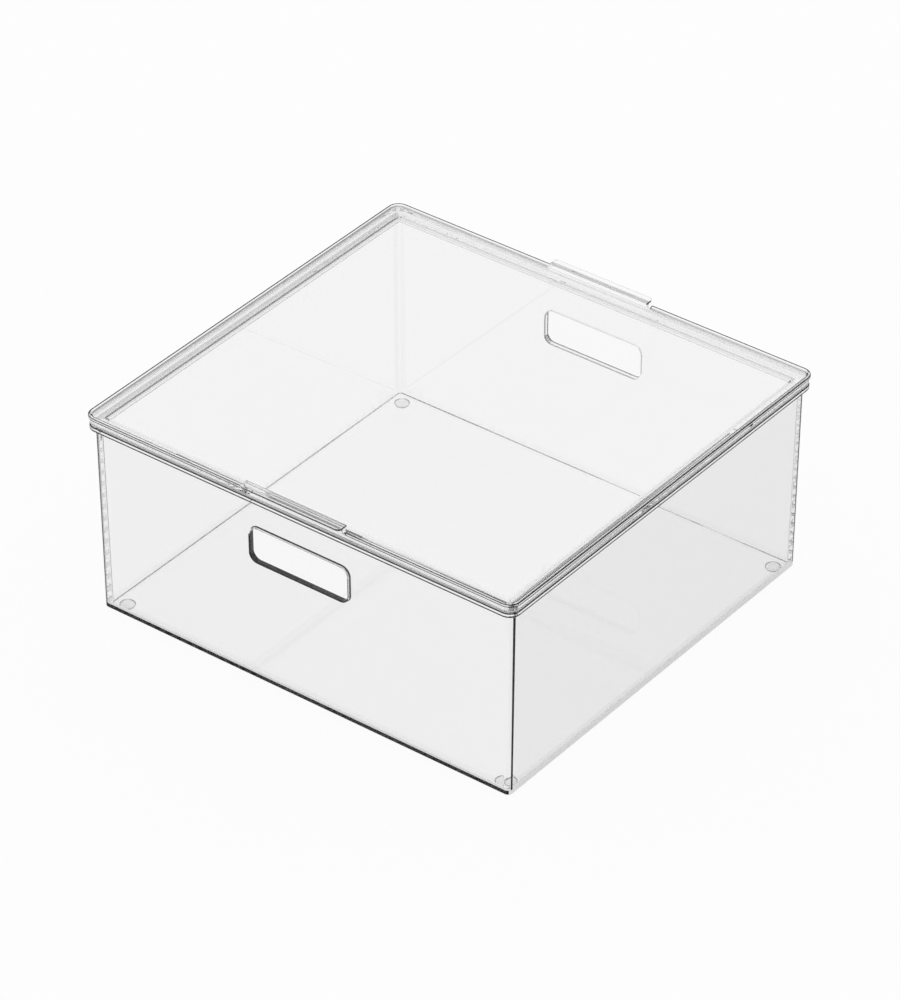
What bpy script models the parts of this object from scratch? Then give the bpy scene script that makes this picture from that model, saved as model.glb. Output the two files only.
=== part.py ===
# Clear storage box with a lift-off lid.
#
# Metres, +Z up. The box stands on its four pads at z = 0 and is centred on x = y = 0.
# The front, with a hand slot and a finger lip, faces -Y. The back is the same.
# The lid lifts straight up from the bin's rim.

import math

import bpy
import bmesh

# Bin: outer size at the underside of its floor, and height from there to the rim's top
bin_width = 0.316
bin_depth = 0.2985
bin_height = 0.1376
wall_thickness = 0.0044
floor_thickness = 0.0025
wall_lean = 0.0015              # how far each wall leans out between floor and rim
wall_corner_radius = 0.0025     # upright outer corners
inner_corner_radius = 0.0022    # upright inner corners
floor_edge_radius = 0.0012      # rounding under the walls, and where floor and wall meet inside

# Flange round the bin's mouth
flange_width = 0.0035           # stands out beyond the wall
flange_thickness = 0.0033
flange_edge_radius = 0.0004

# Hand slots, one through the front wall and one through the back
slot_width = 0.073
slot_height = 0.0246
slot_sill = 0.0883              # lower edge above the underside of the floor
slot_corner_radius = 0.0048
slot_edge_radius = 0.0014       # its edge is rounded towards the wall's outer face
cut_overrun = 0.004             # cutters run on this far past what they cut

# Lid: a recessed panel inside a raised bead, on a short skirt, with a rib inside the mouth
seat_gap = 0.0003               # between parts that touch
lid_height = 0.0065             # skirt's underside to bead's crest
lid_overhang = 0.0006           # bead's outer face beyond the flange
skirt_inset = 0.0003            # skirt's outer face behind the flange's
skirt_thickness = 0.0022
bead_band = 0.0023              # height of the bead's outer face
bead_width = 0.0027
bead_height = 0.002             # crest above the panel
bead_edge_radius = 0.0006
panel_thickness = 0.004
rib_clearance = 0.0004          # rib to the bin's inner wall
rib_thickness = 0.0016
rib_drop = 0.0029               # rib's lower edge below the rim's top

# Finger lips, in the middle of the lid's front and back edges: a flat plate on a web
lip_length = 0.076
lip_overhang = 0.0034           # plate beyond the bead's outer face
lip_reach = 0.0041              # plate inward from the bead's outer face
lip_rise = 0.0025               # its top above the bead's crest
lip_thickness = 0.0012
lip_corner_radius = 0.0027
lip_web_inset = 0.0004          # web's outer face behind the bead's
lip_web_thickness = 0.0031
lip_web_depth = 0.0002          # web's foot below the panel's face
lip_notch = 0.002               # gap between the lip's end and the bead

# Pads under the floor
pad_radius = 0.00515
pad_height = 0.002              # floor's underside above the table
pad_edge_radius = 0.0006
pad_inset = 0.0115              # pad's centre from both outer faces of the bin

# How finely curves are drawn, and the least angle that shows as a sharp edge
corner_steps = 6
edge_steps = 3
pad_segments = 24
sharp_edge_degrees = 35

# Heights that the pieces share
floor_underside = pad_height
rim_top = floor_underside + bin_height
lid_underside = rim_top + seat_gap
bead_crest = lid_underside + lid_height
panel_top = bead_crest - bead_height
panel_underside = panel_top - panel_thickness

# How far each upright face stands out from the bin's base outline
wall_face = wall_lean
flange_face = wall_face + flange_width
bead_face = flange_face + lid_overhang


def clear_scene():
    for old in list(bpy.data.objects):
        bpy.data.objects.remove(old, do_unlink=True)


def clear_plastic(name, colour, roughness):
    # Water-clear plastic: it bends light as acrylic does and has a polished face
    material = bpy.data.materials.new(name)
    material.use_nodes = True
    shader = material.node_tree.nodes["Principled BSDF"]
    shader.inputs["Base Color"].default_value = colour
    shader.inputs["Roughness"].default_value = roughness
    shader.inputs["Metallic"].default_value = 0.0
    shader.inputs["IOR"].default_value = 1.49
    shader.inputs["Transmission Weight"].default_value = 1.0
    return material


def rounded_rectangle(half_x, half_y, radius):
    # Outline of a rectangle with round corners, anticlockwise from above
    points = []
    for corner, (sign_x, sign_y) in enumerate(((1, 1), (-1, 1), (-1, -1), (1, -1))):
        for step in range(corner_steps + 1):
            angle = (corner + step / corner_steps) * math.pi / 2
            x = sign_x * (half_x - radius) + radius * math.cos(angle)
            y = sign_y * (half_y - radius) + radius * math.sin(angle)
            points.append((x, y))
    return points


def bin_outline(offset, radius):
    # Outline that stands out from the bin's base outline by the offset
    return rounded_rectangle(bin_width / 2 + offset, bin_depth / 2 + offset, radius)


def quarter_round(offset, height, radius, start_degrees):
    # Points of a quarter circle in the plane of offset and height, anticlockwise
    points = []
    for step in range(edge_steps + 1):
        angle = math.radians(start_degrees + 90 * step / edge_steps)
        points.append((offset + radius * math.cos(angle), height + radius * math.sin(angle)))
    return points


def shell_from_sections(name, sections):
    # Closed shell through a row of outlines, each (points, height), with both ends capped
    mesh = bmesh.new()
    loops = []
    for points, height in sections:
        loops.append([mesh.verts.new((x, y, height)) for x, y in points])
    for lower, upper in zip(loops, loops[1:]):
        count = len(lower)
        for i in range(count):
            j = (i + 1) % count
            mesh.faces.new((lower[i], lower[j], upper[j], upper[i]))
    mesh.faces.new(list(reversed(loops[0])))
    mesh.faces.new(loops[-1])
    return finish_object(name, mesh)


def finish_object(name, mesh):
    bmesh.ops.recalc_face_normals(mesh, faces=mesh.faces)
    data = bpy.data.meshes.new(name)
    mesh.to_mesh(data)
    mesh.free()
    data.shade_smooth()
    data.set_sharp_from_angle(angle=math.radians(sharp_edge_degrees))
    created = bpy.data.objects.new(name, data)
    bpy.context.scene.collection.objects.link(created)
    return created


def hide_cutter(cutter):
    cutter.hide_render = True
    cutter.display_type = "WIRE"


def add_boolean(target, other, operation):
    modifier = target.modifiers.new(other.name, "BOOLEAN")
    modifier.operation = operation
    modifier.object = other
    modifier.solver = "EXACT"
    hide_cutter(other)


def wall_offset(height):
    # Outer face of the leaning wall at a height above the table
    return wall_lean * (height - floor_underside) / bin_height


def bin_sections():
    sections = []
    # Rounded edge under the wall, then up the outside to the flange
    edge = quarter_round(-floor_edge_radius, floor_underside + floor_edge_radius, floor_edge_radius, 270)
    for offset, height in edge:
        sections.append((bin_outline(offset, wall_corner_radius + offset), height))
    flange_underside = rim_top - flange_thickness
    under_face = wall_offset(flange_underside)
    sections.append((bin_outline(under_face, wall_corner_radius + under_face), flange_underside))
    # Flange, with its lower and upper edges rounded
    inner = flange_face - flange_edge_radius
    rounds = quarter_round(inner, flange_underside + flange_edge_radius, flange_edge_radius, 270)
    rounds += quarter_round(inner, rim_top - flange_edge_radius, flange_edge_radius, 0)
    for offset, height in rounds:
        sections.append((bin_outline(offset, wall_corner_radius + offset), height))
    # Over the rim and down the inside to the floor
    mouth = wall_face - wall_thickness
    sections.append((bin_outline(mouth, inner_corner_radius), rim_top))
    floor_top = floor_underside + floor_thickness
    fillet_top = floor_top + floor_edge_radius
    foot_of_wall = wall_offset(fillet_top) - wall_thickness
    fillet = quarter_round(foot_of_wall - floor_edge_radius, fillet_top, floor_edge_radius, 270)
    for offset, height in reversed(fillet):
        radius = inner_corner_radius - (foot_of_wall - offset)
        sections.append((bin_outline(offset, radius), height))
    return sections


def make_bin():
    shell = shell_from_sections("bin_shell", bin_sections())
    slot = make_slot_cutter()
    add_boolean(shell, slot, "DIFFERENCE")
    return shell


def make_slot_cutter():
    # One cutter along Y opens the front and the back wall
    # It widens by a quarter circle at each wall's outer face, which rounds the slot's edge
    middle = floor_underside + slot_sill + slot_height / 2
    face = bin_depth / 2 + wall_offset(middle)
    stations = [(-bin_depth / 2 - flange_face - cut_overrun, slot_edge_radius)]
    for step in range(edge_steps + 1):
        angle = math.pi / 2 * step / edge_steps
        depth = slot_edge_radius * (1 - math.cos(angle))
        stations.append((depth - face, slot_edge_radius * (1 - math.sin(angle))))
    stations += [(-y, widening) for y, widening in reversed(stations)]
    mesh = bmesh.new()
    loops = []
    for y, widening in stations:
        outline = rounded_rectangle(
            slot_width / 2 + widening,
            slot_height / 2 + widening,
            slot_corner_radius + widening,
        )
        loops.append([mesh.verts.new((x, y, middle + z)) for x, z in outline])
    for near, far in zip(loops, loops[1:]):
        count = len(near)
        for i in range(count):
            j = (i + 1) % count
            mesh.faces.new((near[i], near[j], far[j], far[i]))
    mesh.faces.new(list(reversed(loops[0])))
    mesh.faces.new(loops[-1])
    return finish_object("slot_cutter", mesh)


def lid_sections():
    sections = []
    rib_outer = wall_face - wall_thickness - rib_clearance
    rib_inner = rib_outer - rib_thickness
    rib_bottom = rim_top - rib_drop
    rib_corner = inner_corner_radius
    skirt_outer = flange_face - skirt_inset
    skirt_inner = skirt_outer - skirt_thickness
    skirt_corner = wall_corner_radius + skirt_outer
    band_bottom = bead_crest - bead_band
    bead_corner = wall_corner_radius + bead_face
    # Under the panel, round the rib, along the channel over the rim and round the skirt
    sections.append((bin_outline(rib_inner, rib_corner - rib_thickness), panel_underside))
    sections.append((bin_outline(rib_inner, rib_corner - rib_thickness), rib_bottom))
    sections.append((bin_outline(rib_outer, rib_corner), rib_bottom))
    sections.append((bin_outline(rib_outer, rib_corner), panel_underside))
    sections.append((bin_outline(skirt_inner, skirt_corner - skirt_thickness), panel_underside))
    sections.append((bin_outline(skirt_inner, skirt_corner - skirt_thickness), lid_underside))
    sections.append((bin_outline(skirt_outer, skirt_corner), lid_underside))
    sections.append((bin_outline(skirt_outer, skirt_corner), band_bottom))
    # Round the bead: its lower outer edge, its crest and down to the panel
    rounds = quarter_round(bead_face - bead_edge_radius, band_bottom + bead_edge_radius, bead_edge_radius, 270)
    rounds += quarter_round(bead_face - bead_edge_radius, bead_crest - bead_edge_radius, bead_edge_radius, 0)
    rounds += quarter_round(
        bead_face - bead_width + bead_edge_radius,
        bead_crest - bead_edge_radius,
        bead_edge_radius,
        90,
    )
    for offset, height in rounds:
        sections.append((bin_outline(offset, bead_corner + offset - bead_face), height))
    panel_edge = bead_face - bead_width
    sections.append((bin_outline(panel_edge, bead_corner - bead_width), panel_top))
    return sections


def make_lid():
    lid = shell_from_sections("lid", lid_sections())
    for side, word in ((-1, "front"), (1, "back")):
        add_boolean(lid, make_bead_cutter(side, word), "DIFFERENCE")
        add_boolean(lid, make_lip(side, word), "UNION")
    return lid


def make_bead_cutter(side, word):
    # Takes the bead away along the lip and its two notches, down to the panel's face
    half = lip_length / 2 + lip_notch
    edge = bin_depth / 2 + bead_face
    near = edge - bead_width - cut_overrun
    far = edge + cut_overrun
    mesh = bmesh.new()
    floor = []
    top = []
    for x, y in ((-half, near), (half, near), (half, far), (-half, far)):
        floor.append(mesh.verts.new((x, side * y, panel_top)))
        top.append(mesh.verts.new((x, side * y, bead_crest + cut_overrun)))
    for i in range(4):
        j = (i + 1) % 4
        mesh.faces.new((floor[i], floor[j], top[j], top[i]))
    mesh.faces.new(list(reversed(floor)))
    mesh.faces.new(top)
    return finish_object("bead_cutter_" + word, mesh)


def lip_profile(outer):
    # Section of the lip: up the web's inner face, round the plate and down the web's outer face
    # Each point is (distance from the middle of the box, height)
    edge = bin_depth / 2 + bead_face
    inner = edge - lip_reach
    web_outer = edge - lip_web_inset
    web_inner = web_outer - lip_web_thickness
    top = bead_crest + lip_rise
    under = top - lip_thickness
    foot = panel_top - lip_web_depth
    return [
        (web_outer, foot),
        (web_inner, foot),
        (web_inner, under),
        (inner, under),
        (inner, top),
        (outer, top),
        (outer, under),
        (web_outer, under),
    ]


def make_lip(side, word):
    # Lofted along X; its outer corners are round seen from above
    half = lip_length / 2
    outer = bin_depth / 2 + bead_face + lip_overhang
    stations = []
    for step in range(corner_steps + 1):
        angle = math.pi / 2 * step / corner_steps
        x = half - lip_corner_radius + lip_corner_radius * math.cos(angle)
        stations.append((x, outer - lip_corner_radius + lip_corner_radius * math.sin(angle)))
    stations += [(-x, y) for x, y in reversed(stations)]
    mesh = bmesh.new()
    loops = []
    for x, edge in stations:
        loops.append([mesh.verts.new((x, side * y, z)) for y, z in lip_profile(edge)])
    for first, second in zip(loops, loops[1:]):
        count = len(first)
        for i in range(count):
            j = (i + 1) % count
            mesh.faces.new((first[i], first[j], second[j], second[i]))
    mesh.faces.new(list(reversed(loops[0])))
    mesh.faces.new(loops[-1])
    return finish_object("lip_" + word, mesh)


def make_pad(name, x, y):
    # Round pad with a flat top against the floor and a rounded lower edge
    top = pad_height - seat_gap
    rings = quarter_round(pad_radius - pad_edge_radius, pad_edge_radius, pad_edge_radius, 270)
    rings.append((pad_radius, top))
    sections = []
    for radius, height in rings:
        ring = []
        for i in range(pad_segments):
            angle = 2 * math.pi * i / pad_segments
            ring.append((radius * math.cos(angle), radius * math.sin(angle)))
        sections.append((ring, height))
    pad = shell_from_sections(name, sections)
    pad.location = (x, y, 0)
    return pad


def make_pads():
    pads = []
    reach_x = bin_width / 2 - pad_inset
    reach_y = bin_depth / 2 - pad_inset
    for end, sign_y in (("front", -1), ("back", 1)):
        for hand, sign_x in (("left", -1), ("right", 1)):
            pads.append(make_pad("foot_" + end + "_" + hand, sign_x * reach_x, sign_y * reach_y))
    return pads


def main():
    clear_scene()
    shell = make_bin()
    shell.data.materials.append(clear_plastic("clear_bin", (0.96, 0.97, 0.97, 1.0), 0.03))
    lid = make_lid()
    lid.data.materials.append(clear_plastic("clear_lid", (0.97, 0.98, 0.98, 1.0), 0.03))
    for pad in make_pads():
        pad.data.materials.append(clear_plastic(pad.name + "_silicone", (0.93, 0.94, 0.94, 1.0), 0.2))


main()
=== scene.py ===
import bpy
import numpy as np
from mathutils import Matrix, Vector


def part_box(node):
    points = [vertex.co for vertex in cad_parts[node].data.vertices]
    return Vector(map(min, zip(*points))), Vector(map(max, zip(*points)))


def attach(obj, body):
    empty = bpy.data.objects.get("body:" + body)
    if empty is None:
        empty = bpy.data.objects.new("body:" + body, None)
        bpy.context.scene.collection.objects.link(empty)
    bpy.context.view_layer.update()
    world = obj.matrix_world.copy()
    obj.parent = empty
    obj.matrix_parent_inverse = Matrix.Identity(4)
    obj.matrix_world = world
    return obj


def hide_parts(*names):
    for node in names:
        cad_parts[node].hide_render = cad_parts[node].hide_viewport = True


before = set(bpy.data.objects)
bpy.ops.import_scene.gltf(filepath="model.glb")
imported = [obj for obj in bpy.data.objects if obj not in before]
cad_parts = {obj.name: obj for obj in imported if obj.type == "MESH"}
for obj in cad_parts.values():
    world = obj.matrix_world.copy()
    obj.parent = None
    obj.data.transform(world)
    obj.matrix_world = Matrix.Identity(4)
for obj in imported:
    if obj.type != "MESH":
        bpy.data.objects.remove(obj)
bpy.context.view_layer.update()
print("frame loaded:", ", ".join(sorted(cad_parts)))

mm = 0.001
sliver = 0.01 * mm   # shortest step of a section, where one painted line follows another


# Meshes

# Arc of a circle: centre plus radius times (cos, sin), with the angle in even steps
def arc(centreOut, centreUp, radius, startDegrees, endDegrees, steps):
    angle = np.radians(np.linspace(startDegrees, endDegrees, steps + 1))
    return np.stack([centreOut + radius * np.cos(angle), centreUp + radius * np.sin(angle)], axis=1)


# Stations round a rectangle with round corners, anticlockwise from above.
# Each row holds the corner's signs and the outward normal; the angle runs evenly in each corner.
def cornerStations(steps):
    angle = np.radians(np.linspace(0, 90, steps + 1)[None, :] + np.arange(4)[:, None] * 90)
    signX = np.repeat(np.array([1, -1, -1, 1])[:, None], steps + 1, axis=1)
    signY = np.repeat(np.array([1, 1, -1, -1])[:, None], steps + 1, axis=1)
    return np.stack([signX, signY, np.cos(angle), np.sin(angle)], axis=2).reshape(-1, 4)


# A profile (out, up, corner radius) carried round the rectangle: each point is the corner's
# centre, which lies in from the offset outline by the radius, plus the radius along the normal.
def sweepRound(profile, halfX, halfY, steps):
    station = cornerStations(steps)
    out, up, radius = profile[:, 0:1], profile[:, 1:2], profile[:, 2:3]
    x = station[:, 0] * (halfX + out - radius) + radius * station[:, 2]
    y = station[:, 1] * (halfY + out - radius) + radius * station[:, 3]
    return np.stack([x, y, np.broadcast_to(up, x.shape)], axis=2)


# Quads between neighbouring rings of a grid (rings, points, 3), with a flat cap on each end ring
def gridFaces(grid):
    rings, count = grid.shape[:2]
    index = np.arange(rings * count).reshape(rings, count)
    right = np.roll(index, -1, axis=1)
    quads = np.stack([index[:-1], right[:-1], right[1:], index[1:]], axis=2).reshape(-1, 4)
    return quads.tolist() + [index[0][::-1].tolist(), index[-1].tolist()]


# Mesh of a grid; paint holds a material number for each quad and caps one for each end cap
def addGrid(name, grid, materials, paint=None, caps=(0, 0)):
    mesh = bpy.data.meshes.new(name)
    mesh.from_pydata(grid.reshape(-1, 3).tolist(), [], gridFaces(grid))
    for material in materials:
        mesh.materials.append(material)
    if paint is not None:
        numbers = np.concatenate([paint.ravel(), caps]).astype(np.int32)
        mesh.polygons.foreach_set("material_index", numbers)
    mesh.validate()
    made = bpy.data.objects.new(name, mesh)
    bpy.context.scene.collection.objects.link(made)
    return made


# Stacks a section's parts, each (material, points), into one profile with a material number for
# each of its intervals and each wall. A part's material is one number, one for each wall in the
# order right, back, left, front, or such a row for each interval. The interval that leads to the
# next part is plain.
def joinParts(parts):
    numbers = []
    for number, points in parts:
        numbers += [np.broadcast_to(number, (len(points) - 1, 4)), np.full((1, 4), plain)]
    return np.concatenate([points for number, points in parts]), np.concatenate(numbers[:-1])


# Which wall each quad round the outline belongs to, in the same order, and the angle of its
# outward normal from +X
def wallsRound(steps):
    station = cornerStations(steps)
    across = station[:, 2:] + np.roll(station[:, 2:], -1, axis=0)
    turn = np.degrees(np.arctan2(across[:, 1], across[:, 0])) % 360
    return ((turn + 45) % 360 // 90).astype(int), turn


# Joins or cuts with closed helper shapes and keeps the result as the piece's own mesh
def combine(piece, helpers):
    for helper, operation in helpers:
        modifier = piece.modifiers.new(helper.name, "BOOLEAN")
        modifier.operation = operation
        modifier.object = helper
        modifier.solver = "EXACT"
    bpy.context.view_layer.update()
    done = bpy.data.meshes.new_from_object(piece.evaluated_get(bpy.context.evaluated_depsgraph_get()))
    piece.modifiers.clear()
    piece.data = done
    for helper, operation in helpers:
        bpy.data.objects.remove(helper)


# Flats stay flat and the small roundings between them blend: normals are weighed by face area
def polish(piece, sharpDegrees=40):
    piece.data.shade_smooth()
    piece.data.set_sharp_from_angle(angle=np.radians(sharpDegrees))
    weigh = piece.modifiers.new("facesFlat", "WEIGHTED_NORMAL")
    weigh.mode = "FACE_AREA"
    weigh.keep_sharp = True


# A piece moves with its body and stands in for its CAD node
def dress(piece, body, node):
    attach(piece, body)
    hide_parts(node)


# Materials

# sRGB hex to linear, by the sRGB curve
def linear(hexColour):
    channels = np.array([int(hexColour[i:i + 2], 16) for i in (0, 2, 4)]) / 255
    curved = np.where(channels <= 0.04045, channels / 12.92, ((channels + 0.055) / 1.055) ** 2.4)
    return (*curved.tolist(), 1.0)


# The empty node tree of a material or world
def emptyTree(owner):
    owner.use_nodes = True
    owner.node_tree.nodes.clear()
    return owner.node_tree


# Adds a node with its settings; an input given as a socket is linked, any other is set
def addNode(tree, kind, settings=None, inputs=None):
    node = tree.nodes.new(kind)
    for key, value in (settings or {}).items():
        setattr(node, key, value)
    for key, value in (inputs or {}).items():
        if isinstance(value, bpy.types.NodeSocket):
            tree.links.new(value, node.inputs[key])
        else:
            node.inputs[key].default_value = value
    return node


clearValues = {
    "tint": "FAFAFA",
    # Painted shade: a clear wall shows as lines, where light runs off along the plastic at an edge
    # and never reaches the eye, and these tints paint that shade into the plastic's colour along the
    # edges. Light through one surface comes out darker by the square root of these.
    "faintShadeTint": "B8B8B8",
    "greyShadeTint": "848484",
    "darkShadeTint": "3A3A3A",
    "blackShadeTint": "030303",
    "wallShadeTint": "F0F0F0",   # painted shade: the wall that looks away from the light, tinted greyer
    "satinTint": "F8F8F8",   # matt edge at the foot, which lets no light through
    "satinRoughness": 0.5,
    "ior": 1.49,
    "waveLength": 38,        # mm, the slow waviness of a moulded sheet
    "waveDepth": 0.002,      # mm
}


# Clear injection-moulded acrylic: polished steel moulds leave it glassy, with a waviness so slow
# that the eye sees it only as lines bending a little behind a wall.
def mouldedAcrylic(name, tint, roughness=0.0, transmission=1.0):
    material = bpy.data.materials.new(name)
    tree = emptyTree(material)
    place = addNode(tree, "ShaderNodeTexCoord")
    wave = addNode(tree, "ShaderNodeTexNoise", {}, {
        "Vector": place.outputs["Object"],
        "Scale": 1 / (clearValues["waveLength"] * mm),
        "Detail": 1.0,
    })
    bump = addNode(tree, "ShaderNodeBump", {}, {
        "Height": wave.outputs["Fac"],
        "Distance": clearValues["waveDepth"] * mm,
        "Strength": 1.0,
    })
    shader = addNode(tree, "ShaderNodeBsdfPrincipled", {}, {
        "Base Color": linear(tint),
        "Roughness": roughness,
        "IOR": clearValues["ior"],
        "Transmission Weight": transmission,
        "Normal": bump.outputs["Normal"],
    })
    addNode(tree, "ShaderNodeOutputMaterial", {}, {"Surface": shader.outputs["BSDF"]})
    return material


# Material numbers, in the order of the list. The faint, grey, dark and black numbers paint shade
# lines along edges, and one more paints the right wall's face a shade greyer. A tint has no hold on
# light that a face throws back inside the plastic, so the end of the bead, which is seen only that
# way, is painted shade: black, and opaque to light.
plain, faint, grey, dark, black, satin, wallShade, opaqueShade = range(8)
acrylics = [
    mouldedAcrylic("mouldedAcrylic", clearValues["tint"]),
    mouldedAcrylic("mouldedAcrylicFaintPaintedShade", clearValues["faintShadeTint"]),
    mouldedAcrylic("mouldedAcrylicGreyPaintedShade", clearValues["greyShadeTint"]),
    mouldedAcrylic("mouldedAcrylicDarkPaintedShade", clearValues["darkShadeTint"]),
    mouldedAcrylic("mouldedAcrylicBlackPaintedShade", clearValues["blackShadeTint"]),
    mouldedAcrylic("satinAcrylicEdge", clearValues["satinTint"], clearValues["satinRoughness"], 0.0),
    mouldedAcrylic("mouldedAcrylicWallPaintedShade", clearValues["wallShadeTint"]),
    mouldedAcrylic("mouldedAcrylicOpaquePaintedShade", clearValues["blackShadeTint"], transmission=0.0),
]


# Bin

binLow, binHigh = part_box("bin_shell")

binValues = {                # mm
    "wall": 4.4,
    "floor": 2.5,
    "lean": 1.5,             # each wall leans out this far from floor to rim
    "flangeOut": 3.5,        # flange beyond the wall
    "flangeTall": 3.3,
    "flangeRound": 0.5,
    "underRound": 0.5,       # hollow corner between wall and flange
    "mouthRound": 0.3,
    "flangeLine": 0.65,      # painted shade: dark line on the flange's face, beside its lower edge
    "flangeTopLine": 0.25,   # and beside its upper edge
    "wallCorner": 3.5,       # below the flange
    "rimCorner": 2.5,
    "innerCorner": 2.2,
    "baseRound": 0.6,
    "floorRound": 1.2,       # hollow corner between wall and floor, inside
    "slotWide": 74.6,
    "slotTall": 24.3,
    "slotSill": 88.45,
    "slotCorner": 5.4,
    "slotFlare": 0.9,        # rounded edge on the outer face: its width across the wall's face
    "slotFlareDeep": 0.5,    # and its depth into the wall
    "slotInnerRound": 1.3,
    "slotLine": 1.1,         # painted shade line on the reveal, beside its outer edge
    "slotPast": 6,           # the cutter reaches this far past each face
    "blackBand": 3.3,        # painted shade: black line along the foot of the front wall
    "satinBand": 5.1,        # on the right wall from the floor up, in front above the black line
    "cornerLines": [         # painted shade lines up the corners: degrees round the outline, anticlockwise from +X, and material
        (333, 356, black),   # front corner, towards the right wall
        (205, 240, black),   # left corner, where it is seen edge-on
        (240, 258, dark),
        (258, 270, faint),
        (12, 45, black),     # right corner
        (0, 12, dark),
    ],
    "cornerSteps": 28,
    "slotSteps": 12,
    "roundSteps": 6,
}

faceOut = (binValues["lean"] + binValues["flangeOut"]) * mm
baseX, baseY = binHigh.x - faceOut, binHigh.y - faceOut
rimTop, baseUp = binHigh.z, binLow.z


# How far the wall's outer face stands out at a height, in proportion to that height
def leanAt(value, up):
    return value["lean"] * mm * (up - baseUp) / (rimTop - baseUp)


# Wall section, outside from the floor up, over the flange and rim and down the inside, where each
# round is a quarter circle
def binProfile(value):
    steps = value["roundSteps"]
    wall, inner = value["wall"] * mm, value["innerCorner"] * mm
    base, flange = value["baseRound"] * mm, value["flangeRound"] * mm
    under, mouth = value["underRound"] * mm, value["mouthRound"] * mm
    flangeUnder = rimTop - value["flangeTall"] * mm
    line, topLine = value["flangeLine"] * mm, value["flangeTopLine"] * mm
    bandTop, satinTop = baseUp + value["blackBand"] * mm, baseUp + value["satinBand"] * mm
    # Painted shade: a black line along the front wall's foot, and black lines at the flange's lower
    # and upper edges on the right and front walls
    footLine, rimLine = (satin, plain, plain, black), (black, plain, plain, black)
    outside, outsideNumbers = joinParts([
        (footLine, arc(-base, baseUp + base, base, 270, 315, steps)),
        (footLine, np.concatenate([
            arc(-base, baseUp + base, base, 315, 360, steps),
            [[leanAt(value, bandTop), bandTop]],
        ])),
        ((satin, plain, plain, satin), np.array([
            [leanAt(value, bandTop), bandTop + sliver],
            [leanAt(value, satinTop), satinTop],
        ])),
        (plain, arc(leanAt(value, flangeUnder) + under, flangeUnder - under, under, 180, 90, steps)),
        (rimLine, np.concatenate([
            arc(faceOut - flange, flangeUnder + flange, flange, 270, 360, steps),
            [[faceOut, flangeUnder + flange + line]],
        ])),
        (rimLine, np.concatenate([
            [[faceOut, rimTop - flange - topLine]],
            arc(faceOut - flange, rimTop - flange, flange, 0, 90, steps),
        ])),
    ])
    corner = np.where(outside[:, 1] < flangeUnder, value["wallCorner"], value["rimCorner"]) * mm
    outside = np.column_stack([outside, corner + outside[:, 0]])
    wallOut, mouthOut = value["lean"] * mm, value["lean"] * mm - wall
    # Painted shade on the left wall's rim: faint over its top and dark round its mouth
    rim, rimNumbers = joinParts([
        ((plain, plain, faint, plain), np.array([[wallOut, rimTop], [mouthOut + 2 * mouth, rimTop]])),
        ((plain, plain, dark, plain), arc(mouthOut + mouth, rimTop - mouth, mouth, 90, 180, steps)),
    ])
    rim = np.column_stack([rim, inner + rim[:, 0] - mouthOut])
    rim[0, 2] = value["rimCorner"] * mm + wallOut
    floorTop, hollow = baseUp + value["floor"] * mm, value["floorRound"] * mm
    footOut = leanAt(value, floorTop + hollow) - wall
    fillet = arc(footOut - hollow, floorTop + hollow, hollow, 360, 270, steps)
    fillet = np.column_stack([fillet, inner + fillet[:, 0] - footOut])
    return joinParts([(outsideNumbers, outside), (rimNumbers, rim), (plain, fillet)])


# Material number of each quad: the section's own by wall, then the right wall's face, painted a shade
# greyer, and then the painted shade lines up the corners. The face is the interval that follows the
# foot's three painted parts.
def binPaint(value, numbers):
    walls, turn = wallsRound(value["cornerSteps"])
    paint = numbers[:, walls]
    face = 2 * value["roundSteps"] + 4
    # painted shade: the right wall's face a shade greyer
    paint[face, walls == 0] = wallShade
    for start, end, number in value["cornerLines"]:
        paint[face - 2:face + 2, (turn > start) & (turn < end)] = number
    return paint


# Cutter through one wall: the slot's outline carried along Y, flaring by a quarter ellipse where it
# meets the outer face and a quarter circle at the inner one, so that the slot's edges come out
# rounded. It leans as the wall does. Paint holds painted shade numbers for the outer edge, the line
# beside it, the rest of the reveal and the inner edge; the outer edge over the opening stays plain.
def slotCutter(value, side, paintFour):
    steps = value["roundSteps"]
    station = cornerStations(value["slotSteps"])
    halfX, halfZ = value["slotWide"] * mm / 2, value["slotTall"] * mm / 2
    flare, deep = value["slotFlare"] * mm, value["slotFlareDeep"] * mm
    innerEdge, past = value["slotInnerRound"] * mm, value["slotPast"] * mm
    middle = baseUp + (value["slotSill"] + value["slotTall"] / 2) * mm
    outer = baseY + leanAt(value, middle)
    inner = outer - value["wall"] * mm
    turn = np.radians(np.linspace(0, 90, steps + 1))
    along = np.concatenate([
        [outer + past], outer - deep * (1 - np.cos(turn)),
        [outer - deep - value["slotLine"] * mm],
        inner + innerEdge * (1 - np.cos(turn[::-1])), [inner - past],
    ])
    grow = np.concatenate([
        [flare], flare * (1 - np.sin(turn)), [0],
        innerEdge * (1 - np.sin(turn[::-1])), [innerEdge],
    ])
    corner = value["slotCorner"] * mm
    radius = (corner + grow)[:, None]
    x = station[:, 0] * (halfX - corner) + radius * station[:, 2]
    z = middle + station[:, 1] * (halfZ - corner) + radius * station[:, 3]
    y = side * (along[:, None] + leanAt(value, baseUp + z - middle))
    grid = np.stack([x, y, z], axis=2)
    over = (station[:, 1] > 0) & (np.roll(station[:, 1], -1) > 0)
    if side < 0:
        grid, over = grid[:, ::-1], np.roll(over[::-1], -1)
    outerEdge, line, reveal, backEdge = paintFour
    rows = [outerEdge] * (steps + 1) + [line, reveal] + [backEdge] * (steps + 1)
    paint = np.repeat(np.array(rows)[:, None], len(station), axis=1)
    paint[:steps + 1, over] = plain
    return addGrid("slotCut", grid, acrylics, paint), "DIFFERENCE"


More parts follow.
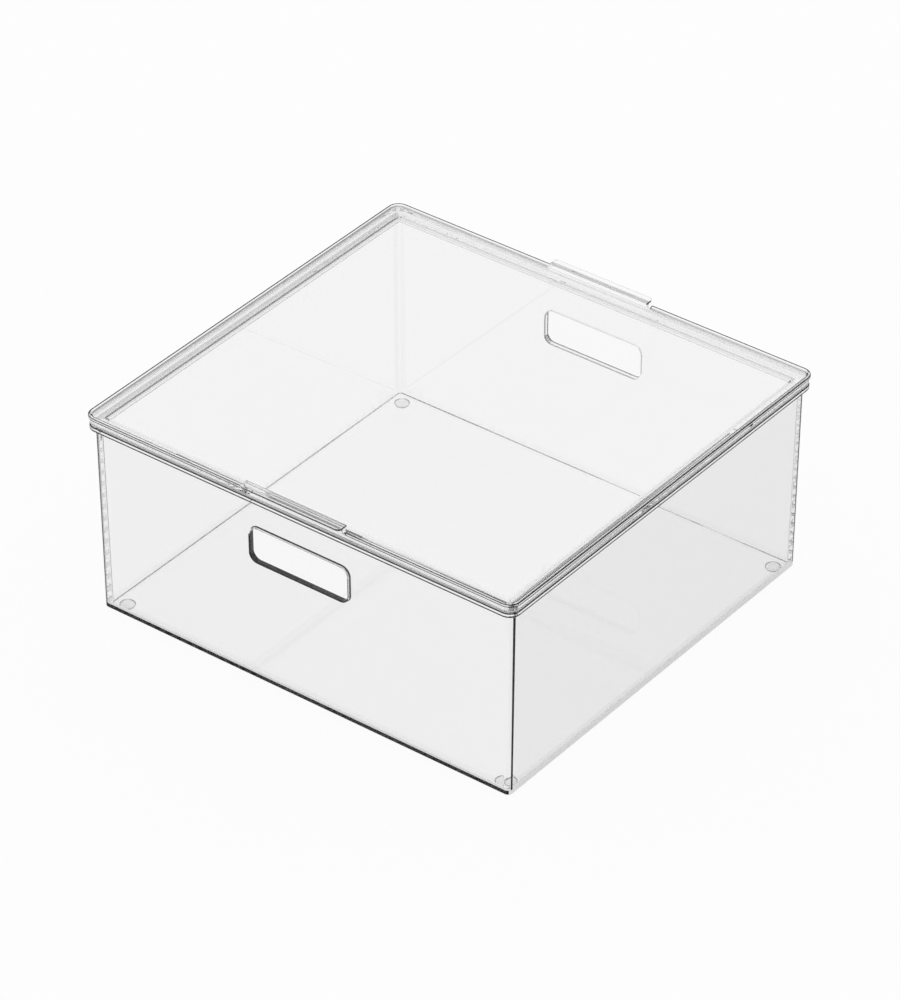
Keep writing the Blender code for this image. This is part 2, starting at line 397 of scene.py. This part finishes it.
def makeBin(value):
    profile, numbers = binProfile(value)
    grid = sweepRound(profile, baseX, baseY, value["cornerSteps"])
    piece = addGrid("clearBin", grid, acrylics, binPaint(value, numbers))
    # Painted shade: black all round the front slot's edges and reveal, and a dark line on the back
    # slot's reveal
    combine(piece, [
        slotCutter(value, -1, (black, black, black, black)),
        slotCutter(value, 1, (plain, dark, plain, plain)),
    ])
    polish(piece)
    dress(piece, "bin", "bin_shell")
    print("bin:", len(piece.data.polygons), "faces")


makeBin(binValues)

# Lid

lidLow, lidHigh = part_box("lid")

lidValues = {                # mm
    "tall": 6.5,             # skirt's underside to bead's crest
    "gap": 0.3,              # between the flange and the skirt
    "skirtIn": 0.9,          # skirt behind the bead's face
    "skirtThick": 2.2,
    "band": 2.3,             # height of the bead's face
    "bead": 2.7,
    "beadTall": 2.0,         # crest above the panel
    "beadRound": 0.6,
    "beadInnerRound": 0.9,
    "panel": 4.0,
    "ribGap": 0.4,           # between the rib and the bin's wall
    "rib": 1.6,
    "skirtLine": 0.25,       # painted shade lines: on the skirt's face, beside its lower edge
    "beadLine": 0.3,         # on the bead's face, beside its lower edge
    "crestLine": 0.7,        # along the crest, beside its outer edge at the left and the back
    "crestInnerLine": 0.2,   # and beside its inner edge at the front and the right
    "edgeRound": 0.25,       # every other edge
    "lipLong": 76.0,
    "lipOut": 3.4,           # plate beyond the bead's face
    "lipIn": 4.1,            # and inward from it
    "lipRise": 2.5,          # plate's top above the crest
    "lipThick": 1.2,
    "lipRound": 0.3,
    "lipCorner": 2.7,        # rounding of the plate's corners, seen from above
    "lipLine": 0.36,         # painted shade: black edge, from this far below the plate's top
    "webIn": 0.4,            # web behind the bead's face
    "webThick": 3.1,
    "notch": 2.0,            # gap in the bead beyond each end of the lip
    "notchIn": 1,            # the bead's cutter reaches this far past the bead's inner face
    "notchPast": 3,          # and past its outer face and crest
    "cornerSteps": 28,
    "lipSteps": 14,
    "roundSteps": 6,
}

beadOut = lidHigh.x - baseX
lidUnder = rimTop + lidValues["gap"] * mm
crest = lidUnder + lidValues["tall"] * mm
panelTop = crest - lidValues["beadTall"] * mm
panelUnder = panelTop - lidValues["panel"] * mm


# Lid section from under the panel, round the rib and the skirt, over the bead to the panel's face,
# where each round is a quarter circle. Its lines are painted shade: near lines lie on the walls that
# face the camera, right and front, and far lines on the other two.
def lidProfile(value):
    steps = value["roundSteps"]
    edge, bead = value["edgeRound"] * mm, value["beadRound"] * mm
    beadIn = value["beadInnerRound"] * mm
    ribOuter = (binValues["lean"] - binValues["wall"] - value["ribGap"]) * mm
    ribInner = ribOuter - value["rib"] * mm
    skirt = beadOut - value["skirtIn"] * mm
    skirtInner = skirt - value["skirtThick"] * mm
    beadInner = beadOut - value["bead"] * mm
    bandUnder = crest - value["band"] * mm
    nearLine, farLine = (black, plain, plain, black), (plain, black, black, plain)
    # Painted shade on the rib's edges: faint at the panel on the left, and along its foot dark on the
    # left and faint at the back
    rib, ribNumbers = joinParts([
        ((plain, plain, faint, plain), arc(ribInner - edge, panelUnder - edge, edge, 90, 0, steps)),
        ((plain, faint, dark, plain), np.concatenate([
            arc(ribInner + edge, lidLow.z + edge, edge, 180, 270, steps),
            arc(ribOuter - edge, lidLow.z + edge, edge, 270, 360, steps),
        ])),
        (plain, arc(ribOuter + edge, panelUnder - edge, edge, 180, 90, steps)),
    ])
    rest, restNumbers = joinParts([
        (nearLine, arc(skirtInner - edge, panelUnder - edge, edge, 90, 0, steps)),
        (plain, arc(skirtInner + edge, lidUnder + edge, edge, 180, 270, steps)),
        (nearLine, np.concatenate([
            arc(skirt - edge, lidUnder + edge, edge, 270, 360, steps),
            [[skirt, lidUnder + edge + value["skirtLine"] * mm]],
        ])),
        (plain, arc(skirt + edge, bandUnder - edge, edge, 180, 90, steps)),
        (nearLine, np.concatenate([
            arc(beadOut - bead, bandUnder + bead, bead, 270, 360, steps),
            [[beadOut, bandUnder + bead + value["beadLine"] * mm]],
        ])),
        ((black, black, black, grey), arc(beadOut - bead, crest - bead, bead, 0, 90, steps)),
        (farLine, np.array([
            [beadOut - bead - sliver, crest],
            [beadOut - bead - value["crestLine"] * mm, crest],
        ])),
        (nearLine, np.concatenate([
            [[beadInner + beadIn + value["crestInnerLine"] * mm, crest]],
            arc(beadInner + beadIn, crest - beadIn, beadIn, 90, 135, steps),
        ])),
        ((black, faint, grey, black), arc(
            beadInner + beadIn - sliver, crest - beadIn, beadIn, 135, 180, steps)),
        (plain, arc(beadInner - edge, panelTop + edge, edge, 360, 270, steps)),
    ])
    rib = np.column_stack([rib, binValues["innerCorner"] * mm + rib[:, 0] - ribOuter])
    rest = np.column_stack([rest, binValues["rimCorner"] * mm + rest[:, 0]])
    return joinParts([(ribNumbers, rib), (restNumbers, rest)])


# Bar along X whose outer edge follows a quarter circle at each end. The section is a closed row of
# points (out, up); those at its outer edge are moved in with it.
def addBar(name, side, section, half, corner, steps, numbers, caps):
    angle = np.radians(np.linspace(0, 90, steps + 1))
    x = half - corner + corner * np.cos(angle)
    inward = corner * (1 - np.sin(angle))
    x, inward = np.concatenate([x, -x[::-1]]), np.concatenate([inward, inward[::-1]])
    middle = (section[:, 0].min() + section[:, 0].max()) / 2
    out = section[:, 0] - inward[:, None] * (section[:, 0] > middle)
    y = side * (baseY + out)
    grid = np.stack([
        np.broadcast_to(x[:, None], y.shape), y, np.broadcast_to(section[:, 1], y.shape)], axis=2)
    if side < 0:
        grid, numbers = grid[:, ::-1], np.roll(numbers[::-1], -1)
    paint = np.repeat(numbers[None, :], len(x) - 1, axis=0)
    paint[:steps, numbers > plain] = max(numbers)   # at the right end every painted shade line is as dark
    return addGrid(name, grid, acrylics, paint, caps)


# Lip: a flat plate with every long edge rounded by a quarter circle, on an upright web
def lipParts(value, side, word):
    steps, edge = value["roundSteps"], value["lipRound"] * mm
    outer, inner = beadOut + value["lipOut"] * mm, beadOut - value["lipIn"] * mm
    top = crest + value["lipRise"] * mm
    under = top - value["lipThick"] * mm
    webOuter = beadOut - value["webIn"] * mm
    webInner = webOuter - value["webThick"] * mm
    # Painted shade: faint lines along the front plate's rounded edges, a black line down its outer
    # face and lower outer edge, and a faint band across the back plate's top over the web
    plate, numbers = joinParts([
        ((plain, plain, plain, faint), arc(inner + edge, under + edge, edge, 270, 180, steps)),
        ((plain, plain, plain, faint), arc(inner + edge, top - edge, edge, 180, 90, steps)),
        ((plain, faint, plain, plain), np.array([[webInner - edge, top], [webOuter - edge, top]])),
        ((plain, plain, plain, faint), arc(outer - edge, top - edge, edge, 90, 0, steps)),
        ((plain, plain, plain, black), np.concatenate([
            [[outer, top - value["lipLine"] * mm]],
            arc(outer - edge, under + edge, edge, 360, 270, steps),
        ])),
    ])
    wall = 3 if side < 0 else 1
    plateNumbers = np.append(numbers[:, wall], plain)
    foot = panelTop - value["edgeRound"] * mm
    web = np.array([
        [webOuter, foot], [webInner, foot], [webInner, under + edge], [webOuter, under + edge]])
    half, corner, lipSteps = value["lipLong"] * mm / 2, value["lipCorner"] * mm, value["lipSteps"]
    return [
        # The plate's right end cap is painted shade, black and opaque
        (addBar("plate" + word, side, plate, half, corner, lipSteps, plateNumbers,
                (opaqueShade, plain)), "UNION"),
        (addBar("web" + word, side, web, half - edge, edge, lipSteps, np.full(4, plain),
                (plain, plain)), "UNION"),
    ]


# Box-shaped cutter, from a grid of two rings, that takes the bead away behind the lip; the face it
# leaves at the bead's end, beyond the lip's right end, is painted shade, black and opaque
def beadCutter(value, side, name):
    half, past = (value["lipLong"] / 2 + value["notch"]) * mm, value["notchPast"] * mm
    near = side * (baseY + beadOut - (value["bead"] + value["notchIn"]) * mm)
    far = side * (baseY + beadOut + past)
    ring = np.array([[-half, near], [half, near], [half, far], [-half, far]])
    if side < 0:
        ring = ring[::-1]
    low = np.column_stack([ring, np.full(4, panelTop)])
    high = np.column_stack([ring, np.full(4, crest + past)])
    return addGrid(name, np.stack([low, high]), acrylics, np.array([[plain, opaqueShade, plain, plain]]))


def makeLid(value):
    profile, numbers = lidProfile(value)
    grid = sweepRound(profile, baseX, baseY, value["cornerSteps"])
    walls, turn = wallsRound(value["cornerSteps"])
    piece = addGrid("clearLid", grid, acrylics, numbers[:, walls])
    combine(piece, [
        (beadCutter(value, -1, "beadCutFront"), "DIFFERENCE"),
        (beadCutter(value, 1, "beadCutBack"), "DIFFERENCE"),
        *lipParts(value, -1, "Front"),
        *lipParts(value, 1, "Back"),
    ])
    polish(piece)
    dress(piece, "lid", "lid")
    print("lid:", len(piece.data.polygons), "faces")


makeLid(lidValues)

# Pads

padValues = {                # mm
    "taper": 0.5,            # narrower at the table
    "edge": 0.5,
    "topEdge": 0.1,
    "tint": "F0F0F0",
    "ior": 1.42,
    "grain": 1.2,            # size of the satin skin's patches
    "smoothest": 0.084,      # roughness, between these two from patch to patch
    "roughest": 0.156,
    "segments": 96,
    "roundSteps": 6,
}


# Clear silicone of the stick-on pads: softer and a little milky, with a faint satin skin
def clearSilicone(name, value):
    material = bpy.data.materials.new(name)
    tree = emptyTree(material)
    place = addNode(tree, "ShaderNodeTexCoord")
    grain = addNode(tree, "ShaderNodeTexNoise", {}, {
        "Vector": place.outputs["Object"],
        "Scale": 1 / (value["grain"] * mm),
        "Detail": 2.0,
    })
    skin = addNode(tree, "ShaderNodeMapRange", {}, {
        "Value": grain.outputs["Fac"],
        "To Min": value["smoothest"],
        "To Max": value["roughest"],
    })
    shader = addNode(tree, "ShaderNodeBsdfPrincipled", {}, {
        "Base Color": linear(value["tint"]),
        "Roughness": skin.outputs["Result"],
        "IOR": value["ior"],
        "Transmission Weight": 1.0,
    })
    addNode(tree, "ShaderNodeOutputMaterial", {}, {"Surface": shader.outputs["BSDF"]})
    return material


# A turned profile: radius and height carried round a full circle
def makePad(node, value):
    low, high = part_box(node)
    middle = (low + high) / 2
    radius = (high.x - low.x) / 2
    edge, topEdge = value["edge"] * mm, value["topEdge"] * mm
    foot = radius - value["taper"] * mm
    profile = np.concatenate([
        arc(foot - edge, low.z + edge, edge, 270, 360, value["roundSteps"]),
        arc(radius - topEdge, high.z - topEdge, topEdge, 0, 90, value["roundSteps"]),
    ])
    turn = np.radians(np.arange(value["segments"]) * 360 / value["segments"])
    x = middle.x + profile[:, 0:1] * np.cos(turn)
    y = middle.y + profile[:, 0:1] * np.sin(turn)
    grid = np.stack([x, y, np.broadcast_to(profile[:, 1:2], x.shape)], axis=2)
    piece = addGrid(node + "_pad", grid, [siliconePad])
    polish(piece)
    dress(piece, "bin", node)


siliconePad = clearSilicone("clearSilicone", padValues)
padNodes = sorted(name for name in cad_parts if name.startswith("foot_"))
for padNode in padNodes:
    makePad(padNode, padValues)
print("pads:", len(padNodes))

# Studio

studioValues = {
    "floorColour": "E4E4E4",
    "floorSize": 6.0,        # m
    "floorLines": 9,         # rows of points each way
    "whiteCamera": 0.94,     # share of white that rays see instead of the paper, by kind of ray
    "whiteGlossy": 0.9,
    "whiteTransmission": 0.97,
    "glossyLight": 0.3,      # how bright that white is in a reflection
    "patchMiddle": (-0.06, 0.075, 0),   # m, where rays straight through the box land
    "patchNear": 0.33,       # m from there, fully bright up to here
    "patchFar": 0.65,        # m, and dimmed beyond, to this share
    "patchOutside": 0.6,
    "worldColour": "FFFFFF",
    "horizon": 0.1,          # height on a sphere of directions, 0 level and 1 overhead
    "horizonLight": 0.8,
    "overhead": 0.9,
    "overheadLight": 1.0,
    "bounces": 64,           # light runs far along inside a clear wall before it leaves
}


# Share of plain white that a ray of each kind sees instead of the lit surface
def whiteShare(tree, value):
    path = addNode(tree, "ShaderNodeLightPath")
    total = None
    for kind in ("Camera", "Glossy", "Transmission"):
        part = addNode(tree, "ShaderNodeMath", {"operation": "MULTIPLY"}, {
            0: path.outputs["Is %s Ray" % kind], 1: value["white" + kind]}).outputs[0]
        total = part if total is None else addNode(tree, "ShaderNodeMath", {"operation": "MAXIMUM"}, {
            0: total, 1: part}).outputs[0]
    return total


# Matt white paper that rolls on without a seam: the eye sees an even white with a soft shadow.
# Through the plastic it is bright under the box and dimmer further off. A ray that goes straight
# through clear plastic counts as glossy too, so a true reflection is glossy and not transmission.
def palePaper(name, value):
    material = bpy.data.materials.new(name)
    tree = emptyTree(material)
    place = addNode(tree, "ShaderNodeTexCoord")
    away = addNode(tree, "ShaderNodeVectorMath", {"operation": "DISTANCE"}, {
        0: place.outputs["Object"], 1: value["patchMiddle"]})
    patch = addNode(tree, "ShaderNodeMapRange", {"interpolation_type": "SMOOTHSTEP"}, {
        "Value": away.outputs["Value"],
        "From Min": value["patchNear"],
        "From Max": value["patchFar"],
        "To Min": 1.0,
        "To Max": value["patchOutside"],
    })
    path = addNode(tree, "ShaderNodeLightPath")
    seen = addNode(tree, "ShaderNodeMath", {"operation": "MAXIMUM"}, {
        0: patch.outputs["Result"], 1: path.outputs["Is Camera Ray"]})
    reflected = addNode(tree, "ShaderNodeMath", {"operation": "SUBTRACT"}, {
        0: path.outputs["Is Glossy Ray"], 1: path.outputs["Is Transmission Ray"]})
    mirrored = addNode(tree, "ShaderNodeMapRange", {}, {
        "Value": reflected.outputs[0],
        "To Min": 1.0,
        "To Max": value["glossyLight"],
    })
    glow = addNode(tree, "ShaderNodeMath", {"operation": "MULTIPLY"}, {
        0: seen.outputs[0], 1: mirrored.outputs["Result"]})
    paper = addNode(tree, "ShaderNodeBsdfDiffuse", {}, {"Color": linear(value["floorColour"])})
    white = addNode(tree, "ShaderNodeEmission", {}, {
        "Color": (1, 1, 1, 1), "Strength": glow.outputs[0]})
    mix = addNode(tree, "ShaderNodeMixShader", {}, {
        0: whiteShare(tree, value), 1: paper.outputs[0], 2: white.outputs[0]})
    addNode(tree, "ShaderNodeOutputMaterial", {}, {"Surface": mix.outputs[0]})
    return material


# Square of level quads round the origin
def makeFloor(value):
    half = value["floorSize"] / 2
    side = np.linspace(-half, half, value["floorLines"])
    x, y = np.meshgrid(side, side)
    points = np.stack([x.ravel(), y.ravel(), np.zeros(x.size)], axis=1)
    index = np.arange(x.size).reshape(x.shape)
    quads = np.stack([index[:-1, :-1], index[:-1, 1:], index[1:, 1:], index[1:, :-1]], axis=2)
    mesh = bpy.data.meshes.new("studioFloor")
    mesh.from_pydata(points.tolist(), [], quads.reshape(-1, 4).tolist())
    mesh.materials.append(palePaper("palePaper", value))
    floor = bpy.data.objects.new("studioFloor", mesh)
    bpy.context.scene.collection.objects.link(floor)


# Sky: a little brighter overhead, and white where the camera looks straight at it
def makeWorld(value):
    world = bpy.data.worlds.new("studioWorld")
    bpy.context.scene.world = world
    tree = emptyTree(world)
    place = addNode(tree, "ShaderNodeTexCoord")
    axes = addNode(tree, "ShaderNodeSeparateXYZ", {}, {"Vector": place.outputs["Generated"]})
    climb = addNode(tree, "ShaderNodeMapRange", {"interpolation_type": "SMOOTHSTEP"}, {
        "Value": axes.outputs["Z"],
        "From Min": value["horizon"],
        "From Max": value["overhead"],
        "To Min": value["horizonLight"],
        "To Max": value["overheadLight"],
    })
    path = addNode(tree, "ShaderNodeLightPath")
    level = addNode(tree, "ShaderNodeMath", {"operation": "MAXIMUM"}, {
        0: climb.outputs["Result"], 1: path.outputs["Is Camera Ray"]})
    sky = addNode(tree, "ShaderNodeBackground", {}, {
        "Color": linear(value["worldColour"]), "Strength": level.outputs[0]})
    addNode(tree, "ShaderNodeOutputWorld", {}, {"Surface": sky.outputs[0]})


makeFloor(studioValues)
makeWorld(studioValues)
cycles = bpy.context.scene.cycles
cycles.max_bounces = cycles.transmission_bounces = cycles.glossy_bounces = studioValues["bounces"]
print("studio: floor and world")

# Camera

# Solved from the box's straight edges in the photograph
cameraValues = {
    "azimuth": 37.544,       # degrees round from the front
    "elevation": 35.076,
    "lens": 196.54,          # mm
    "sensor": 36,            # mm, along the tall side
    "distance": 3418.4,      # mm
    "right": -0.79,          # mm that the view's middle lies beside the base's middle
    "up": 52.84,             # mm above it, across the view
    "farthest": 20,          # m, what the camera still sees
}


# The camera stands back from the base's middle along the view, after a shift across the view
def makeCamera(value):
    a, e = np.radians(value["azimuth"]), np.radians(value["elevation"])
    back = Vector((np.sin(a) * np.cos(e), -np.cos(a) * np.cos(e), np.sin(e)))
    right = Vector((np.cos(a), np.sin(a), 0))
    up = back.cross(right)
    data = bpy.data.cameras.new("studioCamera")
    data.lens = value["lens"]
    data.sensor_width = value["sensor"]
    data.clip_end = value["farthest"]
    camera = bpy.data.objects.new("studioCamera", data)
    bpy.context.scene.collection.objects.link(camera)
    place = (right * value["right"] + up * value["up"] + back * value["distance"]) * mm
    place.z += baseUp
    turn = Matrix((right, up, back)).transposed().to_4x4()
    camera.matrix_world = Matrix.Translation(place) @ turn
    bpy.context.scene.camera = camera


makeCamera(cameraValues)
bpy.context.scene.view_settings.view_transform = "Standard"
print("camera placed")
